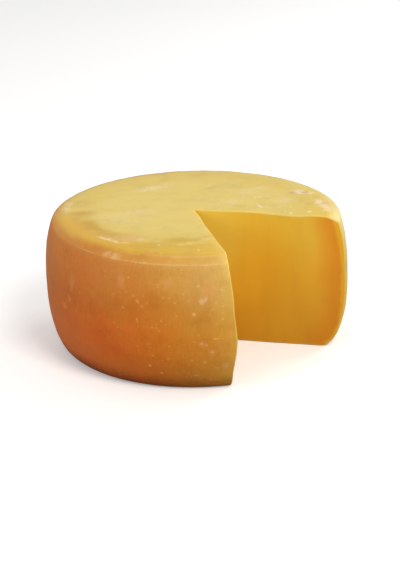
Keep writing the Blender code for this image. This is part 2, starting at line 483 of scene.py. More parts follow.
def knifeMove(place, settled):
    # keeps both cuts where the knife went, whatever the wheel's sag did to them, with its slow waves
    near, far = heading(wheel["cutFrom"]), heading(wheel["cutTo"])
    nearSide, farSide = Vector((-near.y, near.x, 0)), Vector((far.y, -far.x, 0))
    slid = settled - place - Vector(cut["apex"])
    fromAxis = math.hypot(place.x, place.y)
    grown = ease(fromAxis, *cut["wavesFrom"])

    def waves(name, start):
        length = cut[name + "Length"]
        spot = Vector((fromAxis / length, place.z / length / cut[name + "Stretch"], start))
        return cut[name] * noise.noise(spot)

    def wanted(line, side, start):
        gap = gapTo(place, line)
        move = (waves("wave", start) + waves("ripple", start)) * grown
        move *= 1 - ease(gap, 0, cut["wavesFade"])
        return move - slid.dot(side), 1 - ease(gap, 0, cut["fade"])

    nearStart, farStart = cut["wavesStart"]
    nearMove, nearHold = wanted(near, nearSide, nearStart)
    farMove, farHold = wanted(far, farSide, farStart)
    nearMove = (nearMove + readPath(cut["knifePath"], settled.z)) * nearHold
    upper = ease(settled.z, *cut["farHeights"])
    farMove = (farMove - readPath(cut["farPath"], fromAxis) * upper) * farHold
    rise = Vector((0, 0, readPath(cut["farRise"], fromAxis) * upper * farHold))
    # both holds act at once beside the axis, and their directions aren't square to each other
    shared = nearSide.dot(farSide) * nearHold * farHold
    nearPart = (nearMove - shared * farMove) / (1 - shared * shared)
    farPart = (farMove - shared * nearMove) / (1 - shared * shared)
    return nearSide * nearPart + farSide * farPart + rise


def shapeWheel(piece):
    for vertex in piece.data.vertices:
        place = vertex.co.copy()
        settled = settle(place)
        vertex.co = settled + knifeMove(place, settled)
    piece.data.update()


def fitBox(piece):
    # brings the wheel's box exactly onto the solid's
    low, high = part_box("cheese_wheel")
    for axis in range(3):
        values = [vertex.co[axis] for vertex in piece.data.vertices]
        lowest, highest = min(values), max(values)
        scale = (high[axis] - low[axis]) / (highest - lowest)
        for vertex in piece.data.vertices:
            vertex.co[axis] = low[axis] + (vertex.co[axis] - lowest) * scale
        print("  box", "xyz"[axis], "scaled by", round(scale, 5))
    piece.data.update()


# Small helpers for the node trees

def wire(tree, value, socket):
    # a socket is linked, anything else is set
    if isinstance(value, bpy.types.NodeSocket):
        tree.links.new(value, socket)
    elif value is not None:
        socket.default_value = value


def maths(tree, operation, first, second=None, third=None):
    node = tree.nodes.new("ShaderNodeMath")
    node.operation = operation
    for value, socket in zip((first, second, third), node.inputs):
        wire(tree, value, socket)
    return node.outputs[0]


def times(tree, first, second):
    return maths(tree, "MULTIPLY", first, second)


def vectorMaths(tree, operation, first, second=None, factor=None):
    node = tree.nodes.new("ShaderNodeVectorMath")
    node.operation = operation
    wire(tree, first, node.inputs[0])
    wire(tree, second, node.inputs[1])
    if factor is not None:
        wire(tree, factor, node.inputs["Scale"])
    single = operation in ("LENGTH", "DOT_PRODUCT", "DISTANCE")
    return node.outputs["Value" if single else "Vector"]


def remap(tree, value, low, high, toLow=0.0, toHigh=1.0):
    node = tree.nodes.new("ShaderNodeMapRange")
    node.interpolation_type = "SMOOTHSTEP"
    names = ("Value", "From Min", "From Max", "To Min", "To Max")
    for name, given in zip(names, (value, low, high, toLow, toHigh)):
        wire(tree, given, node.inputs[name])
    return node.outputs["Result"]


def blend(tree, factor, first, second, how="MIX"):
    node = tree.nodes.new("ShaderNodeMix")
    node.data_type = "RGBA"
    node.blend_type = how
    # the node has sockets for each kind of value: 6, 7 and 2 are the colours'
    wire(tree, factor, node.inputs["Factor"])
    wire(tree, first, node.inputs[6])
    wire(tree, second, node.inputs[7])
    return node.outputs[2]


def cloud(tree, vector, scale, detail=3.0, roughness=0.5, stretch=None, output="Fac"):
    if stretch:
        vector = vectorMaths(tree, "MULTIPLY", vector, stretch)
    node = tree.nodes.new("ShaderNodeTexNoise")
    names = ("Vector", "Scale", "Detail", "Roughness")
    for name, given in zip(names, (vector, scale, detail, roughness)):
        wire(tree, given, node.inputs[name])
    return node.outputs[output]


def drift(tree, vector, scale, detail=3.0, roughness=0.5):
    # a cloud that swings round zero
    return maths(tree, "SUBTRACT", cloud(tree, vector, scale, detail, roughness), 0.5)


def addNoise(tree, value, *parts):
    for noiseValue, size in parts:
        value = maths(tree, "MULTIPLY_ADD", noiseValue, size, value)
    return value


def named(tree, name):
    node = tree.nodes.new("ShaderNodeAttribute")
    node.attribute_name = name
    return node.outputs["Fac"]


def ramp(tree, value, stops):
    node = tree.nodes.new("ShaderNodeValToRGB")
    wire(tree, value, node.inputs["Fac"])
    elements = node.color_ramp.elements
    for (place, color), element in zip((stops[0], stops[-1]), elements):
        element.position = place
        element.color = (*color, 1)
    for place, color in stops[1:-1]:
        elements.new(place).color = (*color, 1)
    return node.outputs["Color"]


def startGroup(name, inputs, outputs):
    tree = bpy.data.node_groups.new(name, "ShaderNodeTree")
    for socketName, kind, value in inputs:
        socket = tree.interface.new_socket(socketName, in_out="INPUT", socket_type="NodeSocket" + kind)
        if value is not None:
            socket.default_value = value
    for socketName, kind in outputs:
        tree.interface.new_socket(socketName, in_out="OUTPUT", socket_type="NodeSocket" + kind)
    return tree, tree.nodes.new("NodeGroupInput").outputs, tree.nodes.new("NodeGroupOutput").inputs


def useGroup(tree, group, values):
    node = tree.nodes.new("ShaderNodeGroup")
    node.node_tree = group
    for name, value in values.items():
        wire(tree, value, node.inputs[name])
    return node.outputs


grains = {
    "fleckBend": 0.0035,        # how far noise bends a fleck's outline
    "fleckBendScale": 420,
    "fleckSmallest": 0.3,       # share of the largest fleck's size
    "fleckFull": 0.3,           # share of its own size within which a fleck is full
    "fleckCrowds": (0.4, 0.68),     # noise between which flecks go from none to many
    "fleckDetail": 2,
    "ragged": 4.0,              # how far raggedness takes a mark's outline, in half lengths
    "coarse": 0.7,              # share of the coarse and of the fine waves in the relief
    "fine": 0.3,
    "mottle": 0.25,             # scale of the mottling as a share of the coarse waves' scale
    # detail and roughness of each noise
    "raggedNoise": (4, 0.6),
    "coarseNoise": (4, 0.55),
    "fineNoise": (3, 0.6),
    "mottleNoise": (4, 0.6),
}


def fleckGroup():
    # small flecks of uneven size, crowded in some places and missing in others
    tree, given, made = startGroup("flecks", (
        ("Vector", "Vector", None), ("Scale", "Float", 200.0), ("Size", "Float", 0.3),
        ("Amount", "Float", 0.5), ("Patches", "Float", 28.0),
    ), (("Mask", "Float"),))
    detail = grains["fleckDetail"]
    wobble = cloud(tree, given["Vector"], grains["fleckBendScale"], detail, output="Color")
    wobble = vectorMaths(tree, "SUBTRACT", wobble, (0.5, 0.5, 0.5))
    wobble = vectorMaths(tree, "SCALE", wobble, factor=grains["fleckBend"])
    cells = tree.nodes.new("ShaderNodeTexVoronoi")
    wire(tree, vectorMaths(tree, "ADD", given["Vector"], wobble), cells.inputs["Vector"])
    wire(tree, given["Scale"], cells.inputs["Scale"])
    chance = tree.nodes.new("ShaderNodeSeparateColor")
    wire(tree, cells.outputs["Color"], chance.inputs[0])
    size = remap(tree, chance.outputs["Green"], 0, 1, grains["fleckSmallest"], 1.0)
    size = times(tree, given["Size"], size)
    spot = remap(tree, cells.outputs["Distance"], size, times(tree, size, grains["fleckFull"]))
    crowd = remap(tree, cloud(tree, given["Vector"], given["Patches"], detail), *grains["fleckCrowds"])
    chosen = maths(tree, "LESS_THAN", chance.outputs["Red"], times(tree, given["Amount"], crowd))
    wire(tree, times(tree, spot, chosen), made["Mask"])
    return tree


def smudgeGroup():
    # one soft or broken mark round a place, turned about it
    tree, given, made = startGroup("smudge", (
        ("Vector", "Vector", None), ("Place", "Vector", (0, 0, 0)),
        ("Size", "Vector", (0.01, 0.01, 0.01)), ("Turn", "Vector", (0, 0, 0)),
        ("Raggedness", "Float", 0.5), ("Grain", "Float", 120.0),
        ("Soft", "Float", 0.6), ("Strength", "Float", 0.5),
    ), (("Mask", "Float"),))
    # every node is made after the ones it reads: Cycles runs out of room for this many marks otherwise
    fromPlace = vectorMaths(tree, "SUBTRACT", given["Vector"], given["Place"])
    turn = tree.nodes.new("ShaderNodeVectorRotate")
    turn.rotation_type = "EULER_XYZ"
    turn.invert = True
    wire(tree, fromPlace, turn.inputs["Vector"])
    wire(tree, given["Turn"], turn.inputs["Rotation"])
    reach = vectorMaths(tree, "LENGTH", vectorMaths(tree, "DIVIDE", turn.outputs[0], given["Size"]))
    rag = drift(tree, given["Vector"], given["Grain"], *grains["raggedNoise"])
    rag = times(tree, rag, given["Raggedness"])
    reach = maths(tree, "MULTIPLY_ADD", rag, grains["ragged"], reach)
    mask = remap(tree, reach, 1.0, maths(tree, "SUBTRACT", 1.0, given["Soft"]))
    wire(tree, times(tree, mask, given["Strength"]), made["Mask"])
    return tree


def cheeseGrain():
    # fine unevenness that rind and paste share: waxy dimples, and slow patches of tone
    tree, given, made = startGroup("cheese_grain", (
        ("Vector", "Vector", None), ("Stretch", "Vector", (1, 1, 1)), ("Fine", "Float", 900.0),
        ("Coarse", "Float", 160.0),
    ), (("Height", "Float"), ("Mottle", "Float")))
    vector = vectorMaths(tree, "MULTIPLY", given["Vector"], given["Stretch"])
    coarse = cloud(tree, vector, given["Coarse"], *grains["coarseNoise"])
    coarse = times(tree, coarse, grains["coarse"])
    fine = cloud(tree, vector, given["Fine"], *grains["fineNoise"])
    wire(tree, maths(tree, "MULTIPLY_ADD", fine, grains["fine"], coarse), made["Height"])
    mottleScale = times(tree, given["Coarse"], grains["mottle"])
    wire(tree, cloud(tree, vector, mottleScale, *grains["mottleNoise"]), made["Mottle"])
    return tree


def startCheese(name):
    # a new material with its tree, and the place and height of a point
    material = bpy.data.materials.new(name)
    material.use_nodes = True
    tree = material.node_tree
    place = tree.nodes.new("ShaderNodeTexCoord").outputs["Object"]
    return material, tree, place, vectorMaths(tree, "DOT_PRODUCT", place, (0, 0, 1))


def finishCheese(tree, look, color, mottle, bumpHeight):
    # tone, sheen, dimples and the light that sinks in
    shader = tree.nodes["Principled BSDF"]
    wire(tree, color, shader.inputs["Base Color"])
    wire(tree, remap(tree, mottle, *look["roughFrom"], *look["roughness"]), shader.inputs["Roughness"])
    bump = tree.nodes.new("ShaderNodeBump")
    bump.inputs["Distance"].default_value = look["bump"]
    wire(tree, bumpHeight, bump.inputs["Height"])
    wire(tree, bump.outputs[0], shader.inputs["Normal"])
    shader.inputs["Specular IOR Level"].default_value = look["specular"]
    shader.inputs["Subsurface Weight"].default_value = look["scatter"]
    shader.inputs["Subsurface Radius"].default_value = look["scatterTone"]
    shader.inputs["Subsurface Scale"].default_value = look["scatterReach"]


rind = {
    # seven tones each, from the side away from the palest one, over the front, round to it; paler on the
    # lit side and higher up, partly as painted light, darker and redder away from it, partly as painted
    # shade, the rest the rind's own tone
    "roundStops": (0.0, 0.20, 0.40, 0.50, 0.63, 0.71, 1.0),
    "low": ((0.73, 0.190, 0.034), (0.78, 0.172, 0.023), (0.75, 0.195, 0.014), (0.755, 0.240, 0.018),
            (0.75, 0.300, 0.029), (0.84, 0.40, 0.052), (0.89, 0.60, 0.18)),
    "high": ((0.71, 0.243, 0.045), (0.64, 0.195, 0.029), (0.63, 0.245, 0.031), (0.67, 0.325, 0.050),
             (0.69, 0.375, 0.090), (0.80, 0.50, 0.11), (0.91, 0.69, 0.27)),
    "shoulder": ((0.66, 0.30, 0.060), (0.59, 0.225, 0.038), (0.65, 0.305, 0.055), (0.69, 0.365, 0.076),
                 (0.71, 0.405, 0.090), (0.79, 0.51, 0.13), (0.91, 0.74, 0.33)),
    "ring": ((0.755, 0.455, 0.072), (0.73, 0.415, 0.050), (0.74, 0.46, 0.050), (0.73, 0.46, 0.060),
             (0.75, 0.475, 0.066), (0.79, 0.53, 0.085), (0.81, 0.57, 0.105)),
    "paleTowards": 80,          # azimuth of the palest side, the lit one: its paleness is partly painted light
    "behind": (0.755, 0.60, 0.175, 1),
    "pale": (0.797, 0.612, 0.176, 1),
    "paleEdge": (0.765, 0.557, 0.139, 1),
    "paleMiddle": (-0.004, 0.018, 0.146),
    "base": (0.70, 0.43, 0.085, 1),
    # painted highlight: the rind is yellower beside the lit near cut
    "beside": (0.88, 0.63, 0.15, 1),
    "line": (0.86, 0.56, 0.27, 1),
    "secondLineInside": 0.0084,     # its distance from the mould line, and where it is seen
    "secondLineTowards": (-0.14, -0.99, 0),
    "waist": (0.92, 0.92, 0.80, 1),
    # painted shade: tones multiplied in towards the foot, darkest on the side away from the lamps
    "foot": ((0.30, (0.43, 0.27, 0.01)), (0.50, (0.54, 0.49, 0.07)), (0.66, (0.73, 0.57, 0.11))),
    "flecks": ((0.0, (0.96, 0.40, 0.11)), (0.68, (0.96, 0.53, 0.18)), (0.90, (0.96, 0.83, 0.55))),
    "fleckStretch": (1, 1, 1.6),
    "specks": {"Scale": 130.0, "Size": 0.34, "Amount": 0.55},
    "dust": {"Scale": 300.0, "Size": 0.46, "Amount": 0.75, "Patches": 45.0},
    "scuffs": ((0.0, (0.78, 0.42, 0.17)), (0.55, (0.84, 0.52, 0.19)), (0.85, (0.95, 0.79, 0.47))),
    "scuffNoise": (42, 6, 0.75, (1, 1, 0.7)),
    "scuffsTowards": (0.62, 0.78, 0),
    "yellower": (1.0, 0.96, 0.70, 1),
    "mottle": ((0.30, (0.84, 0.79, 0.66)), (0.48, (0.97, 0.97, 0.95)), (0.70, (1.0, 1.0, 1.0))),
    # streaks up the side and brushing across the top: noise with its stretch, and tones
    "streaks": ((330, 4, 0.7, (1, 1, 0.35)),
                ((0.34, (0.90, 0.87, 0.80)), (0.50, (1.0, 1.0, 1.0)), (0.66, (1.07, 1.10, 1.20)))),
    "brushing": ((34, 5, 0.7, (0.7, 1.2, 1)),
                 ((0.32, (0.94, 0.93, 0.82)), (0.50, (1.0, 1.0, 1.0)), (0.68, (1.02, 1.03, 1.12)))),
    "strengths": {
        "foot": 0.9, "mottle": 0.6, "scuffs": 0.55, "specks": 0.40, "dust": 0.24, "secondLine": 0.75,
        "speckRelief": 0.2,
    },
    "roughFrom": (0.3, 0.7),    # mottling between which the roughness runs from one value to the other
    "roughness": (0.42, 0.58),
    "bump": 0.00024,
    "specular": 0.28,
    "scatter": 0.10,
    "scatterTone": (1.0, 0.5, 0.2),
    "scatterReach": 0.004,
    # slow, patchy and small noise: scale, detail and roughness
    "noises": ((14, 3, 0.5), (45, 4, 0.6), (170, 3, 0.6)),
    # how far the three push the edges of the tones about
    "pushes": {
        "towards": (0.20, 0.10, 0), "height": (0.045, 0.025, 0), "foot": (0, 0.010, 0),
        "rim": (0, 0.008, 0.003), "ring": (0.006, 0, 0), "pale": (0.035, 0.040, 0.006),
        "line": (0, 0, 0.0006), "lineBreaks": (0, 0, 0.8), "secondLine": (0, 0.003, 0),
        "beside": (0, 0, 0.004), "edge": (0, 0.0014, 0),
    },
    # from where to where each tone comes in, some with their least and most
    "spans": {
        # by height
        "high": (0.058, 0.136), "waistUp": (0.045, 0.080), "waistDown": (0.118, 0.088),
        "foot": (0.024, 0.0), "baseUp": (0.0010, 0.0003),
        "besideUp": (0.09, 0.14, 0.25, 1.0), "edgeUp": (0.07, 0.13, 0.6, 1.0),
        # by how far inside the mould line
        "shoulder": (-0.0060, 0.0020), "ring": (0.0040, 0.0150), "behindIn": (0.0005, 0.0050),
        "paleIn": (0.006, 0.013), "scuffsDown": (0.006, -0.004),
        "streaks": (0.004, -0.002, 0.0, 0.45), "brushing": (0.008, 0.020, 0.0, 0.45),
        # by distance from a line, from the middle of the pale patch, from the axis and from a cut
        "line": (0.0011, 0.0003), "secondLine": (0.0012, 0.0003),
        "paleEdge": (0.135, 0.113), "pale": (0.120, 0.080), "base": (0.129, 0.115),
        "beside": (-0.0120, -0.0010), "edge": (-0.0019, -0.0007),
        # by the way round to the palest side
        "ringRound": (0.06, 0.26, 0.002, 0.0), "flecksRound": (0.15, 0.65, 0.55, 1.50),
        "lineRound": (0.06, 0.32), "yellowerRound": (0.70, 0.90),
        "besideRound": (0.78, 0.92, 0.45, 0.0), "edgeRound": (0.78, 0.92, 1.0, 0.15),
        # by the cosine from a direction
        "behindRound": (-0.3, 0.6, 0.0, 0.85), "scuffsRound": (0.0, 0.5),
        "secondLineRound": (0.88, 0.97),
        # by noise
        "scuffs": (0.52, 0.72), "yellower": (0.02, 0.16), "lineBreaks": (-0.14, 0.12, 0.06, 0.32),
    },
}

tones = {
    "olive": (0.60, 0.355, 0.052, 1),
    "moss": (0.61, 0.41, 0.054, 1),
    "pink": (0.93, 0.72, 0.48, 1),
    "milk": (0.83, 0.64, 0.27, 1),
    "bloom": (0.90, 0.64, 0.32, 1),
    "butter": (0.87, 0.61, 0.16, 1),
    "dusk": (0.73, 0.47, 0.145, 1),
    "cream": (0.92, 0.74, 0.42, 1),
    "shell": (0.98, 0.50, 0.18, 1),
    "chalk": (0.97, 0.39, 0.10, 1),
    "pearl": (0.85, 0.52, 0.25, 1),
    "haze": (0.84, 0.375, 0.13, 1),
    "red": (0.72, 0.10, 0.008, 1),
    "plum": (0.42, 0.24, 0.09, 1),
}

millimetre = 0.001

# kinds of mark: raggedness, grain and softness
smoke, wipe, scuff = (0.32, 60, 1.0), (0.50, 150, 0.9), (0.85, 330, 0.8)
stroke, dot = (0.45, 220, 0.8), (0.30, 300, 0.8)
topReach, sideReach = 6, 20     # how deep a mark reaches in, in millimetres

# marks on the top, in millimetres: place, half lengths, turn, kind, strength, tone
topMarks = (
    # the olive marks along the inside of the rim at the left front are partly smudges, partly painted
    # shade where the top dips at the foot of the rim
    (-121, 0, 22, 13, 0.0, smoke, 0.80, "olive"),
    (-112, -32, 24, 15, -1.2, smoke, 0.85, "olive"),
    (-101, -52, 24, 14, -0.9, smoke, 0.85, "olive"),
    (-80, -73, 26, 13, -0.6, smoke, 0.80, "olive"),
    (-17, -94, 34, 12, 0.0, smoke, 0.85, "moss"),
    (10, -87, 18, 11, 0.3, smoke, 0.60, "moss"),
    (-67, -83, 26, 17, -0.40, wipe, 0.95, "dusk"),
    (-95, -81.5, 8, 4.8, -0.83, stroke, 0.85, "bloom"),
    (-89, -86.8, 8, 5.2, -0.60, stroke, 1.00, "bloom"),
    (-81.5, -94.5, 10, 4.4, -0.81, stroke, 0.80, "bloom"),
    (-71.5, -100.2, 11, 4.2, -0.37, stroke, 0.70, "butter"),
    (-56, -90.5, 7.5, 8, -0.3, wipe, 0.42, "bloom"),
    (-70, -88, 9, 6, -0.3, scuff, 0.12, "bloom"),
    (-10, -106, 14, 5, 0.3, scuff, 0.75, "butter"),
    (12, -92, 11, 7, 0.4, scuff, 0.80, "butter"),
    (-46, 89, 28, 12, 0.5, wipe, 0.50, "pink"),
    (113.5, 61.5, 11, 12.5, -0.3, wipe, 0.95, "pink"),
    (125.5, 56, 10, 8, -0.3, wipe, 0.80, "pink"),
    (132.5, 22.5, 8, 13, 0.1, wipe, 0.90, "pink"),
    (136, 7.5, 8, 12, 0.0, wipe, 0.70, "pink"),
    (138.5, -7, 6, 12, 0.0, wipe, 0.70, "pink"),
    (106.5, 58.5, 7, 6.5, 0.3, wipe, 0.45, "plum"),
    (114, 62, 5, 5, 0.3, wipe, 0.25, "plum"),
    (119.5, 58.5, 5, 5.5, 0.3, wipe, 0.45, "plum"),
    (-137.5, 19, 5.5, 13, 0.1, scuff, 0.48, "pink"),
    (-135.5, 37, 5, 11, 0.2, scuff, 0.50, "pink"),
    (68.5, 13.3, 8.5, 2.4, -1.18, dot, 0.95, "cream"),
    (56, 67, 17, 15, 0.2, wipe, 0.60, "milk"),
    (74, 76, 13, 12, 0.2, wipe, 0.50, "milk"),
    (39.5, 31.4, 13, 12, 0.2, scuff, 0.60, "milk"),
    (95, 33, 20, 15, 0.2, wipe, 0.60, "milk"),
    (-80, -15, 34, 26, 0.1, wipe, 0.50, "milk"),
    (-55, 5, 30, 20, 0.1, wipe, 0.55, "milk"),
    (100.1, -12.3, 3, 4.2, 0.0, dot, 0.85, "cream"),
    (119.6, -10.3, 3.6, 4.2, 0.0, dot, 0.95, "cream"),
    (-37, -108.5, 2, 4, 0.0, dot, 0.60, "cream"),
    (2.5, -127.5, 2, 4, 0.0, dot, 0.60, "cream"),
)

# and on the side, turned to face outwards: place, half length, half height, tilt, kind and so on
sideMarks = (
    (10.6, -156.4, 114, 13, 12, 0.0, wipe, 0.50, "haze"),
    (-30, -155, 120, 10, 10, 0.0, wipe, 0.35, "haze"),
    (6.1, -158, 103, 5.6, 6, 0.3, smoke, 0.32, "haze"),
    (4.6, -158.4, 102.2, 3.6, 3.6, 0.3, wipe, 0.68, "pearl"),
    (8.3, -158.1, 104.6, 2.4, 3.8, 0.3, wipe, 0.62, "pearl"),
    (-3.8, -159.6, 89.7, 2.7, 2.1, 0.0, dot, 0.72, "shell"),
    (-59.7, -147, 100.4, 3.6, 2.8, 0.5, dot, 0.38, "chalk"),
    (-55.2, -149.3, 95.5, 2.4, 1.8, 0.5, dot, 0.36, "chalk"),
    (-63.5, -144.9, 105.2, 2.6, 1.9, 0.0, dot, 0.26, "chalk"),
    (-74.2, -140.7, 91.9, 2.5, 2.3, 0.0, dot, 0.42, "chalk"),
    (-75.2, -136.6, 118, 6.4, 10, 0.0, wipe, 0.28, "haze"),
    (-130.6, -91.4, 84.1, 8.5, 6.2, 0.4, wipe, 0.34, "chalk"),
    (-136.7, -82.5, 73.3, 7.5, 5, 0.4, wipe, 0.36, "chalk"),
    (-127.8, -93.9, 103, 7, 14, 0.0, wipe, 0.24, "haze"),
    (18.4, -159, 63.4, 7, 1.4, 0.0, stroke, 0.52, "shell"),
    (4.5, -159.5, 58, 7, 4.2, 0.4, wipe, 0.40, "haze"),
    (3.4, -159.7, 58.7, 2.5, 1.9, 0.0, dot, 0.55, "shell"),
    (8.3, -159.2, 56.7, 2.5, 1.9, 0.3, dot, 0.48, "shell"),
    (13, -157, 48, 4.4, 4.2, 0.0, wipe, 0.50, "haze"),
    (13.7, -157, 48.4, 2.2, 2.1, 0.0, dot, 0.66, "shell"),
    (26.4, -150, 30.9, 5.2, 4.4, 0.2, wipe, 0.36, "pearl"),
    (27.6, -149.1, 29.5, 2, 1.4, 0.0, dot, 0.50, "shell"),
    (18.4, -159, 79.2, 1.7, 1.9, 0.2, dot, 0.34, "shell"),
    (15.1, -158.6, 94.1, 2.7, 1.5, 0.0, dot, 0.36, "shell"),
    (-2.8, -146.6, 19.5, 3.6, 1.4, 0.1, stroke, 0.42, "shell"),
    (-37.9, -142.9, 21.6, 2.6, 1.6, 0.0, dot, 0.62, "shell"),
    (-29, -156.5, 55.3, 2, 1.6, 0.0, dot, 0.32, "chalk"),
    (-39, -155.5, 72, 2.6, 1.6, 0.2, dot, 0.28, "chalk"),
    (-60.7, -146, 52.5, 2.2, 1.6, 0.0, dot, 0.32, "chalk"),
    (-60, -148.2, 79.4, 2.1, 1.9, 0.1, dot, 0.34, "chalk"),
    (-83.7, -134.1, 103.2, 2, 2, 0.0, dot, 0.30, "chalk"),
    (-125.3, -92.5, 41.8, 2.4, 1.8, 0.0, dot, 0.34, "chalk"),
    (-118.6, -105.4, 95.3, 2.2, 1.8, 0.0, dot, 0.26, "chalk"),
    (23, -156, 56, 9, 16, 0.0, scuff, 0.18, "chalk"),
    (-49.3, -143.4, 30.1, 2.8, 1.9, 0.0, dot, 0.82, "shell"),
    (-30.6, -152.2, 40.2, 3, 2.8, 0.0, dot, 0.36, "chalk"),
    (-40.7, -147.6, 33.9, 2, 1.8, 0.0, dot, 0.28, "chalk"),
    (6, -154.1, 36.6, 3.4, 2.4, 0.0, dot, 0.42, "shell"),
    (-3.9, -160, 60.6, 2.8, 1.7, 0.0, dot, 0.34, "chalk"),
    (2.3, -157.7, 48.3, 3, 2.4, 0.0, dot, 0.26, "haze"),
    (17.9, -150.2, 28.7, 2.6, 1.8, 0.0, dot, 0.36, "shell"),
    (-14, -157, 110.1, 2.4, 1.8, 0.0, dot, 0.36, "shell"),
    (-34.3, -154.5, 105.8, 2.2, 1.6, 0.0, dot, 0.30, "chalk"),
    (-27.6, -155.8, 106.1, 2.4, 1.6, 0.0, dot, 0.28, "chalk"),
    (-8.4, -158.2, 103.8, 2.4, 1.7, 0.0, dot, 0.26, "shell"),
    (25.2, -155, 112.5, 2, 1.6, 0.0, dot, 0.34, "shell"),
    (-90, -119, 140, 6, 3.4, 0.0, wipe, 0.28, "bloom"),
    (-81, -124.5, 139.6, 9, 3.6, 0.0, wipe, 0.32, "bloom"),
    (-97.3, -125.6, 59, 30, 34, 0.0, smoke, 0.42, "red"),
    (-83.7, -132.7, 40, 26, 22, 0.0, smoke, 0.32, "red"),
)


def addMarks(tree, color, place):
    marks = []
    top = wheel["height"] / millimetre
    for x, y, length, width, turn, *rest in topMarks:
        marks.append(((x, y, top), (length, width, topReach), (0, 0, turn), *rest))
    for x, y, z, length, rise, tilt, *rest in sideMarks:
        marks.append(((x, y, z), (length, sideReach, rise), (0, tilt, math.atan2(x, -y)), *rest))
    for markPlace, size, turn, (raggedness, grain, soft), strength, tone in marks:
        mark = useGroup(tree, smudge, {
            "Vector": place, "Place": Vector(markPlace) * millimetre, "Size": Vector(size) * millimetre,
            "Turn": turn, "Raggedness": raggedness, "Grain": grain, "Soft": soft, "Strength": strength,
        })
        color = blend(tree, mark["Mask"], color, tones[tone])
    return color


